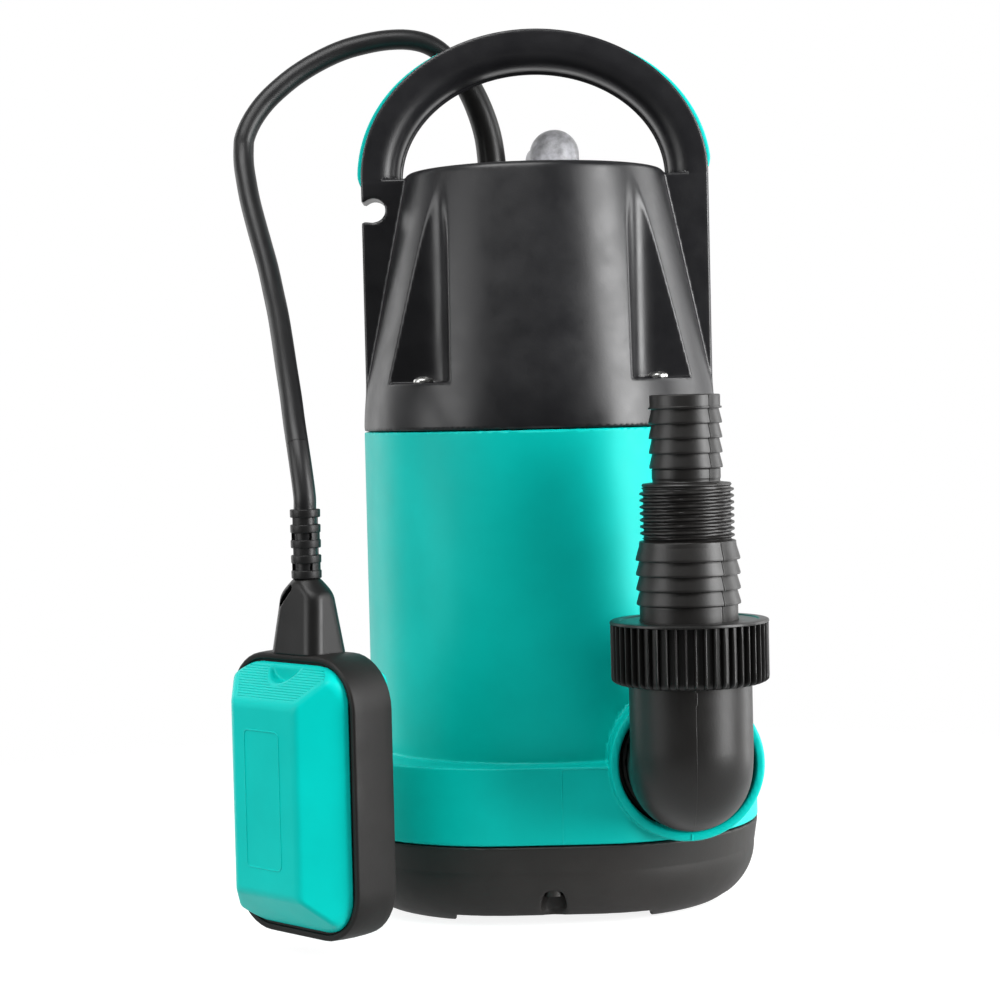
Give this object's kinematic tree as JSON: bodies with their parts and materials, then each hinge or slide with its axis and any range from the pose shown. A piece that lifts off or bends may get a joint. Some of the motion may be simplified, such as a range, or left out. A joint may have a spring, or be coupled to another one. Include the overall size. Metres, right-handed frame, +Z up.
{
  "type": "submersible sump pump",
  "caption": "Submersible sump pump with carrying arch, swivelling outlet elbow, stepped hose connector and a float switch on a cord.",
  "frame": {"origin": "on the pump's own axis, on the floor under its feet", "axes": "+Z up along the motor shaft; the outlet leaves towards -Y; the float hangs on the -X side"},
  "size_m": [0.1985, 0.2064, 0.341],
  "materials": {
    "black_plastic": "satin moulded polypropylene, fine grain",
    "satin_black_plastic": "satin moulded plastic",
    "teal_plastic": "semi-gloss moulded plastic",
    "black_rubber": "moulded rubber",
    "cord_rubber": "smooth extruded rubber sheath",
    "zinc_steel": "zinc-plated screw steel",
    "ground_steel": "ground steel",
    "sheet_steel": "drawn sheet steel",
    "cast_alloy": "die-cast aluminium",
    "lamination_iron": "laminated iron",
    "copper_wire": "enamelled copper wire",
    "ceramic": "glazed ceramic",
    "seal_carbon": "pressed carbon",
    "grey_plastic": "moulded plastic",
    "cream_plastic": "moulded plastic"
  },
  "bodies": {
    "housing": {"base_strainer": "black_plastic", "base_screws": "zinc_steel", "pump_housing": "teal_plastic", "suction_plate": "satin_black_plastic", "volute_casing": "satin_black_plastic", "seal_seat": "ceramic", "lip_seal": "black_rubber", "lower_bracket": "cast_alloy", "lower_bearing_outer": "ground_steel", "motor_can": "sheet_steel", "stator_core": "lamination_iron", "stator_windings": "copper_wire", "upper_bearing_outer": "ground_steel", "upper_bracket": "cast_alloy", "tie_bolts": "zinc_steel", "thermal_protector": "satin_black_plastic", "capacitor": "grey_plastic", "capacitor_clamp": "sheet_steel", "terminal_block": "cream_plastic", "cap_seal": "black_rubber", "top_cap": "black_plastic", "handle_grip": "teal_plastic", "cap_screws": "zinc_steel", "mains_gland": "black_rubber", "float_cord_gland": "black_rubber", "float_cord_upper": "cord_rubber"},
    "rotor": {"shaft": "ground_steel", "impeller": "satin_black_plastic", "impeller_nut": "zinc_steel", "seal_head": "seal_carbon", "seal_spring": "ground_steel", "lower_bearing_inner": "ground_steel", "upper_bearing_inner": "ground_steel", "rotor_core": "lamination_iron", "rotor_cage": "cast_alloy"},
    "elbow": {"outlet_elbow": "satin_black_plastic", "elbow_seal": "black_rubber", "connector_washer": "black_rubber", "hose_connector": "black_plastic"},
    "nut": {"union_nut": "black_plastic"},
    "float_arm": {"float_cord_lower": "cord_rubber"},
    "float": {"float_cord_tail": "cord_rubber", "strain_relief": "black_rubber", "float_neck": "satin_black_plastic", "float_rim": "black_rubber", "float_front_shell": "teal_plastic", "float_back_shell": "teal_plastic", "ball_track": "grey_plastic", "micro_switch": "satin_black_plastic", "float_ballast": "lamination_iron"},
    "ball": {"steel_ball": "ground_steel"},
    "lever": {"switch_lever": "sheet_steel"}
  },
  "joints": [
    {"name": "rotor_spin", "type": "hinge", "parent": "housing", "child": "rotor", "pos_m": [0, 0, 0.1], "axis": [0, 0, 1], "continuous": true},
    {"name": "elbow_swivel", "type": "hinge", "parent": "housing", "child": "elbow", "pos_m": [0.0493, -0.06, 0.0595], "axis": [0, 1, 0], "range_deg": [0, 90]},
    {"name": "nut_spin", "type": "hinge", "parent": "elbow", "child": "nut", "pos_m": [0.0493, -0.1, 0.1], "axis": [0, 0, 1], "continuous": true},
    {"name": "float_swing", "type": "hinge", "parent": "housing", "child": "float_arm", "pos_m": [-0.1135, 0.003, 0.294], "axis": [0, 1, 0], "range_deg": [0, 80]},
    {"name": "float_tilt", "type": "hinge", "parent": "float_arm", "child": "float", "pos_m": [-0.0848, -0.1, 0.1608], "axis": [0, 1, 0], "range_deg": [-12, 60]},
    {"name": "ball_roll", "type": "slide", "parent": "float", "child": "ball", "axis": [0, 0, 1], "range_m": [0, 0.018]},
    {"name": "lever_press", "type": "hinge", "parent": "float", "child": "lever", "pos_m": [-0.08056, -0.10424, 0.05495], "axis": [0.7071, 0.7071, 0], "range_deg": [0, 12.5]}
  ],
  "couplings": [
    {"joint": "lever_press", "follows": "ball_roll", "rad_per_m": 11.636}
  ]
}
